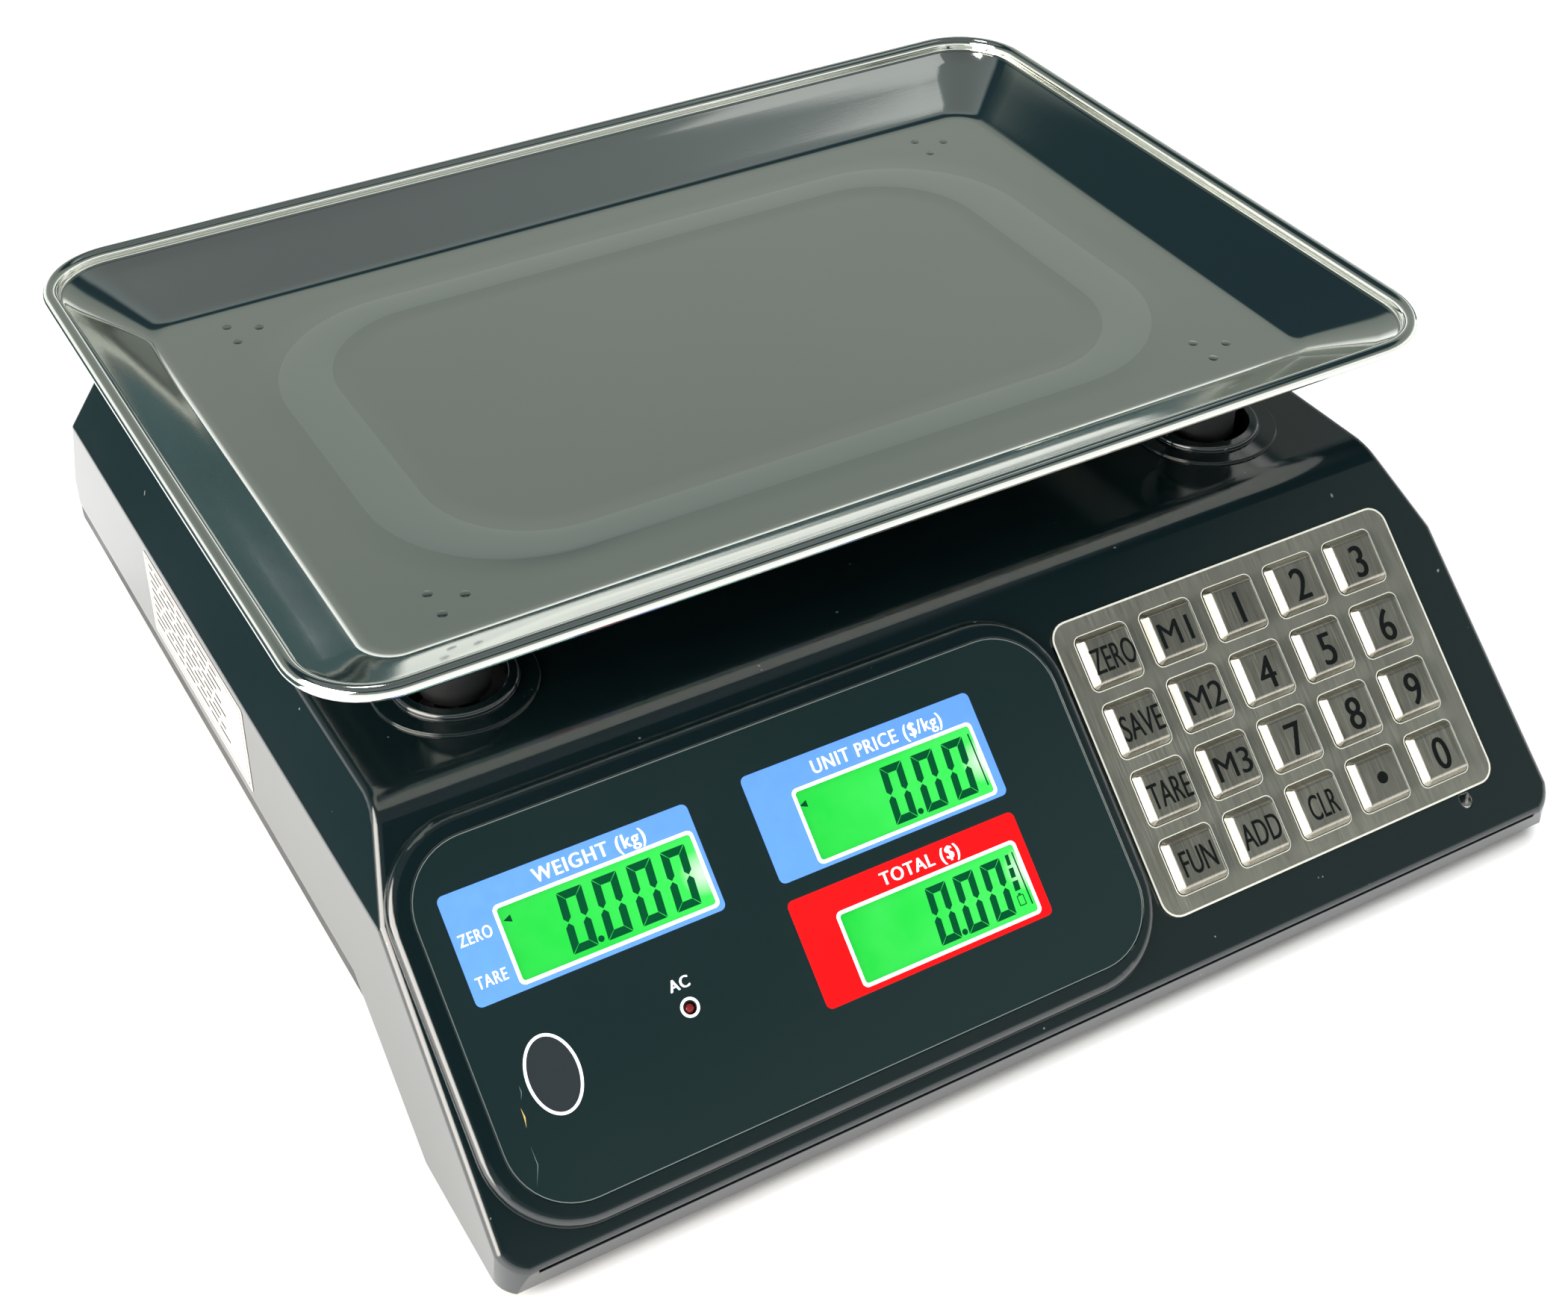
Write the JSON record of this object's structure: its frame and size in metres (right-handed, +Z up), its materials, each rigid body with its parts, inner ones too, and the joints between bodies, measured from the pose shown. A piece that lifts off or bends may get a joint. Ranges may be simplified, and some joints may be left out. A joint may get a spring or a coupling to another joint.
{
  "type": "retail price scale",
  "caption": "Black wedge-shaped counter scale with a rectangular stainless pan, backlit displays, a metal keypad, levelling feet and a rear display.",
  "frame": {"origin": "centre of the footprint on the table, under the feet", "axes": "+Z up, -Y towards the operator and the sloping front panel, +X to the operator's right"},
  "size_m": [0.34, 0.3374, 0.1345],
  "materials": {
    "cover_plastic": "black ABS, moulded gloss",
    "tray_plastic": "black ABS, fine texture",
    "steel": "zinc plated",
    "steel_plate": "zinc plated sheet",
    "cell_aluminium": "machined",
    "cast_aluminium": "die cast",
    "post_plastic": "black, satin",
    "cap_rubber": "black, matt",
    "pan_steel": "polished stainless sheet",
    "cup_steel": "stainless pressing",
    "overlay_film": "black printed film with coloured label blocks",
    "lcd_glass": "lit yellow-green display with dark segments",
    "backlight": "diffusing light block",
    "circuit_board": "green solder mask",
    "led": "clear red, unlit",
    "plate_steel": "brushed stainless sheet",
    "key_steel": "brushed, dark legends",
    "mat_rubber": "silicone",
    "battery_case": "sealed lead-acid battery case",
    "transformer_core": "varnished laminations",
    "fitting_plastic": "black",
    "pin_brass": "nickel-plated brass",
    "rocker_plastic": "black",
    "foot_rubber": "black, matt"
  },
  "bodies": {
    "base": {"upper_housing": "cover_plastic", "lower_housing": "tray_plastic", "housing_screws": "steel", "base_plate": "steel_plate", "base_plate_screws": "steel", "load_cell": "cell_aluminium", "load_cell_bolts": "steel", "load_cell_spacer": "steel_plate", "display_overlay": "overlay_film", "rear_overlay": "overlay_film", "weight_lcd": "lcd_glass", "unit_price_lcd": "lcd_glass", "total_lcd": "lcd_glass", "rear_lcds": "lcd_glass", "lcd_backlights": "backlight", "front_display_board": "circuit_board", "rear_display_board": "circuit_board", "main_board": "circuit_board", "keypad_board": "circuit_board", "power_led": "led", "keypad_plate": "plate_steel", "keypad_mat": "mat_rubber", "battery": "battery_case", "battery_strap": "steel_plate", "transformer": "transformer_core", "power_inlet": "fitting_plastic", "inlet_pins": "pin_brass", "power_switch": "fitting_plastic"},
    "platform": {"platform_spacer": "steel_plate", "platform_spider": "cast_aluminium", "platform_bolts": "steel", "platform_posts": "post_plastic", "post_caps": "cap_rubber"},
    "pan": {"pan": "pan_steel", "pan_locators": "cup_steel"},
    "key_zero": {"key_zero": "key_steel"},
    "key_m1": {"key_m1": "key_steel"},
    "key_1": {"key_1": "key_steel"},
    "key_2": {"key_2": "key_steel"},
    "key_3": {"key_3": "key_steel"},
    "key_save": {"key_save": "key_steel"},
    "key_m2": {"key_m2": "key_steel"},
    "key_4": {"key_4": "key_steel"},
    "key_5": {"key_5": "key_steel"},
    "key_6": {"key_6": "key_steel"},
    "key_tare": {"key_tare": "key_steel"},
    "key_m3": {"key_m3": "key_steel"},
    "key_7": {"key_7": "key_steel"},
    "key_8": {"key_8": "key_steel"},
    "key_9": {"key_9": "key_steel"},
    "key_function": {"key_function": "key_steel"},
    "key_add": {"key_add": "key_steel"},
    "key_clear": {"key_clear": "key_steel"},
    "key_point": {"key_point": "key_steel"},
    "key_0": {"key_0": "key_steel"},
    "foot_front_left": {"foot_front_left": "foot_rubber"},
    "foot_front_right": {"foot_front_right": "foot_rubber"},
    "foot_rear_left": {"foot_rear_left": "foot_rubber"},
    "foot_rear_right": {"foot_rear_right": "foot_rubber"},
    "rocker": {"power_rocker": "rocker_plastic"}
  },
  "joints": [
    {"name": "platform_bend", "type": "slide", "parent": "base", "child": "platform", "axis": [0, 0, -1], "range_m": [0, 0.0005], "stiffness_N_per_m": 780000, "deforming": ["load_cell"]},
    {"name": "pan_lift", "type": "slide", "parent": "platform", "child": "pan", "axis": [0, 0, 1], "range_m": [0, 0.06]},
    {"name": "press_zero", "type": "slide", "parent": "base", "child": "key_zero", "axis": [0, 0.6691, -0.7431], "range_m": [0, 0.001], "stiffness_N_per_m": 1200, "deforming": ["keypad_mat"]},
    {"name": "press_m1", "type": "slide", "parent": "base", "child": "key_m1", "axis": [0, 0.6691, -0.7431], "range_m": [0, 0.001], "stiffness_N_per_m": 1200, "deforming": ["keypad_mat"]},
    {"name": "press_1", "type": "slide", "parent": "base", "child": "key_1", "axis": [0, 0.6691, -0.7431], "range_m": [0, 0.001], "stiffness_N_per_m": 1200, "deforming": ["keypad_mat"]},
    {"name": "press_2", "type": "slide", "parent": "base", "child": "key_2", "axis": [0, 0.6691, -0.7431], "range_m": [0, 0.001], "stiffness_N_per_m": 1200, "deforming": ["keypad_mat"]},
    {"name": "press_3", "type": "slide", "parent": "base", "child": "key_3", "axis": [0, 0.6691, -0.7431], "range_m": [0, 0.001], "stiffness_N_per_m": 1200, "deforming": ["keypad_mat"]},
    {"name": "press_save", "type": "slide", "parent": "base", "child": "key_save", "axis": [0, 0.6691, -0.7431], "range_m": [0, 0.001], "stiffness_N_per_m": 1200, "deforming": ["keypad_mat"]},
    {"name": "press_m2", "type": "slide", "parent": "base", "child": "key_m2", "axis": [0, 0.6691, -0.7431], "range_m": [0, 0.001], "stiffness_N_per_m": 1200, "deforming": ["keypad_mat"]},
    {"name": "press_4", "type": "slide", "parent": "base", "child": "key_4", "axis": [0, 0.6691, -0.7431], "range_m": [0, 0.001], "stiffness_N_per_m": 1200, "deforming": ["keypad_mat"]},
    {"name": "press_5", "type": "slide", "parent": "base", "child": "key_5", "axis": [0, 0.6691, -0.7431], "range_m": [0, 0.001], "stiffness_N_per_m": 1200, "deforming": ["keypad_mat"]},
    {"name": "press_6", "type": "slide", "parent": "base", "child": "key_6", "axis": [0, 0.6691, -0.7431], "range_m": [0, 0.001], "stiffness_N_per_m": 1200, "deforming": ["keypad_mat"]},
    {"name": "press_tare", "type": "slide", "parent": "base", "child": "key_tare", "axis": [0, 0.6691, -0.7431], "range_m": [0, 0.001], "stiffness_N_per_m": 1200, "deforming": ["keypad_mat"]},
    {"name": "press_m3", "type": "slide", "parent": "base", "child": "key_m3", "axis": [0, 0.6691, -0.7431], "range_m": [0, 0.001], "stiffness_N_per_m": 1200, "deforming": ["keypad_mat"]},
    {"name": "press_7", "type": "slide", "parent": "base", "child": "key_7", "axis": [0, 0.6691, -0.7431], "range_m": [0, 0.001], "stiffness_N_per_m": 1200, "deforming": ["keypad_mat"]},
    {"name": "press_8", "type": "slide", "parent": "base", "child": "key_8", "axis": [0, 0.6691, -0.7431], "range_m": [0, 0.001], "stiffness_N_per_m": 1200, "deforming": ["keypad_mat"]},
    {"name": "press_9", "type": "slide", "parent": "base", "child": "key_9", "axis": [0, 0.6691, -0.7431], "range_m": [0, 0.001], "stiffness_N_per_m": 1200, "deforming": ["keypad_mat"]},
    {"name": "press_function", "type": "slide", "parent": "base", "child": "key_function", "axis": [0, 0.6691, -0.7431], "range_m": [0, 0.001], "stiffness_N_per_m": 1200, "deforming": ["keypad_mat"]},
    {"name": "press_add", "type": "slide", "parent": "base", "child": "key_add", "axis": [0, 0.6691, -0.7431], "range_m": [0, 0.001], "stiffness_N_per_m": 1200, "deforming": ["keypad_mat"]},
    {"name": "press_clear", "type": "slide", "parent": "base", "child": "key_clear", "axis": [0, 0.6691, -0.7431], "range_m": [0, 0.001], "stiffness_N_per_m": 1200, "deforming": ["keypad_mat"]},
    {"name": "press_point", "type": "slide", "parent": "base", "child": "key_point", "axis": [0, 0.6691, -0.7431], "range_m": [0, 0.001], "stiffness_N_per_m": 1200, "deforming": ["keypad_mat"]},
    {"name": "press_0", "type": "slide", "parent": "base", "child": "key_0", "axis": [0, 0.6691, -0.7431], "range_m": [0, 0.001], "stiffness_N_per_m": 1200, "deforming": ["keypad_mat"]},
    {"name": "level_front_left", "type": "slide", "parent": "base", "child": "foot_front_left", "axis": [0, 0, -1], "range_m": [0, 0.008]},
    {"name": "level_front_right", "type": "slide", "parent": "base", "child": "foot_front_right", "axis": [0, 0, -1], "range_m": [0, 0.008]},
    {"name": "level_rear_left", "type": "slide", "parent": "base", "child": "foot_rear_left", "axis": [0, 0, -1], "range_m": [0, 0.008]},
    {"name": "level_rear_right", "type": "slide", "parent": "base", "child": "foot_rear_right", "axis": [0, 0, -1], "range_m": [0, 0.008]},
    {"name": "rocker_tip", "type": "hinge", "parent": "base", "child": "rocker", "pos_m": [0.1636, 0.018, 0.054], "axis": [0, 0, -1], "range_deg": [0, 24]}
  ]
}
